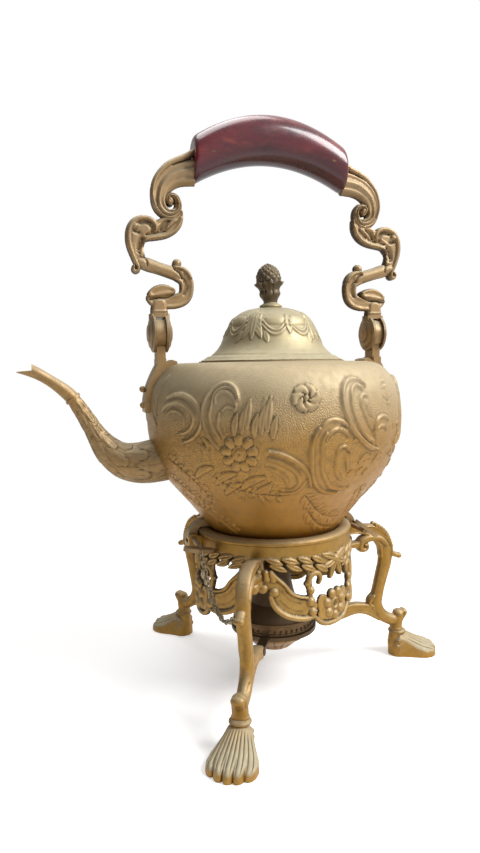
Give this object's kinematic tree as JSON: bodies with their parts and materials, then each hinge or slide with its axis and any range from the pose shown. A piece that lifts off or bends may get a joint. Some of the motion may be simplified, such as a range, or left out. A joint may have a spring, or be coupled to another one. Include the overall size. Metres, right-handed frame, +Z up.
{
  "type": "spirit kettle on burner stand",
  "caption": "Chased brass kettle with a swing handle, tipping on a legged scrollwork stand over a spirit burner with a snuffer.",
  "frame": {"origin": "on the table under the kettle's axis", "axes": "+Z up, -X towards the spout, the handle's grip along X"},
  "size_m": [0.2831, 0.2256, 0.3662],
  "materials": {
    "body_brass": "chased gilt brass, dull with dust",
    "handle_brass": "cast gilt brass, satin",
    "stand_brass": "cast gilt brass, dull with dust",
    "burner_brass": "spun brass, tarnished",
    "dark_brass": "blackened by heat",
    "grip": "dark red-brown, polished",
    "finial": "dark bronzed",
    "pin_brass": "polished",
    "wire": "bright wire",
    "wick": "packed cotton"
  },
  "bodies": {
    "stand": {"stand_ring": "stand_brass", "ring_band": "stand_brass", "gallery_panel_right": "stand_brass", "gallery_panel_rear": "stand_brass", "gallery_panel_front": "stand_brass", "leg_right": "stand_brass", "leg_rear": "stand_brass", "leg_front": "stand_brass", "gallery_rivets": "stand_brass", "front_pin_lug": "stand_brass", "rear_pin_lug": "stand_brass", "burner_cradle": "dark_brass", "cradle_rivets": "dark_brass", "pin_chain": "pin_brass", "tie_wire": "wire"},
    "front_pin": {"front_pin": "pin_brass", "chain_ring": "pin_brass"},
    "kettle": {"kettle_shell": "body_brass", "kettle_bottom": "body_brass", "mouth_ring": "body_brass", "spout": "body_brass", "spout_collar": "body_brass", "spout_tip": "body_brass", "front_bracket": "handle_brass", "rear_bracket": "handle_brass", "bracket_rivets": "handle_brass", "front_kettle_lug": "body_brass", "rear_kettle_lug": "body_brass"},
    "rear_pin": {"rear_pin": "pin_brass"},
    "lid": {"lid_dome": "body_brass", "lid_skirt": "body_brass", "finial_plate": "body_brass", "finial_cup": "finial", "finial_cone": "finial", "finial_stud": "finial", "finial_nut": "finial"},
    "handle": {"front_arm": "handle_brass", "rear_arm": "handle_brass", "grip": "grip", "grip_pins": "handle_brass", "front_hinge_pin": "handle_brass", "rear_hinge_pin": "handle_brass"},
    "burner": {"burner_bowl": "burner_brass", "burner_rim": "dark_brass", "burner_top": "dark_brass", "wick_tube": "dark_brass", "wick": "wick"},
    "snuffer": {"snuffer_cap": "dark_brass"}
  },
  "joints": [
    {"name": "kettle_tilt", "type": "hinge", "parent": "stand", "child": "kettle", "pos_m": [-0.0555, 0, 0.0995], "axis": [0, -1, 0], "range_deg": [0, 50]},
    {"name": "handle_swing", "type": "hinge", "parent": "kettle", "child": "handle", "pos_m": [0, 0, 0.2298], "axis": [1, 0, 0], "range_deg": [-90, 90]},
    {"name": "lid_lift", "type": "slide", "parent": "kettle", "child": "lid", "axis": [0, 0, 1], "range_m": [0, 0.05]},
    {"name": "rear_pin_pull", "type": "slide", "parent": "kettle", "child": "rear_pin", "axis": [0, -1, 0], "range_m": [0, 0.02]},
    {"name": "front_pin_pull", "type": "slide", "parent": "stand", "child": "front_pin", "axis": [0, -1, 0], "range_m": [0, 0.02], "deforming": ["pin_chain"]},
    {"name": "burner_lift", "type": "slide", "parent": "stand", "child": "burner", "axis": [0, 0, 1], "range_m": [0, 0.0065]},
    {"name": "snuffer_lift", "type": "slide", "parent": "burner", "child": "snuffer", "axis": [0, 0, 1], "range_m": [0, 0.0075]}
  ]
}
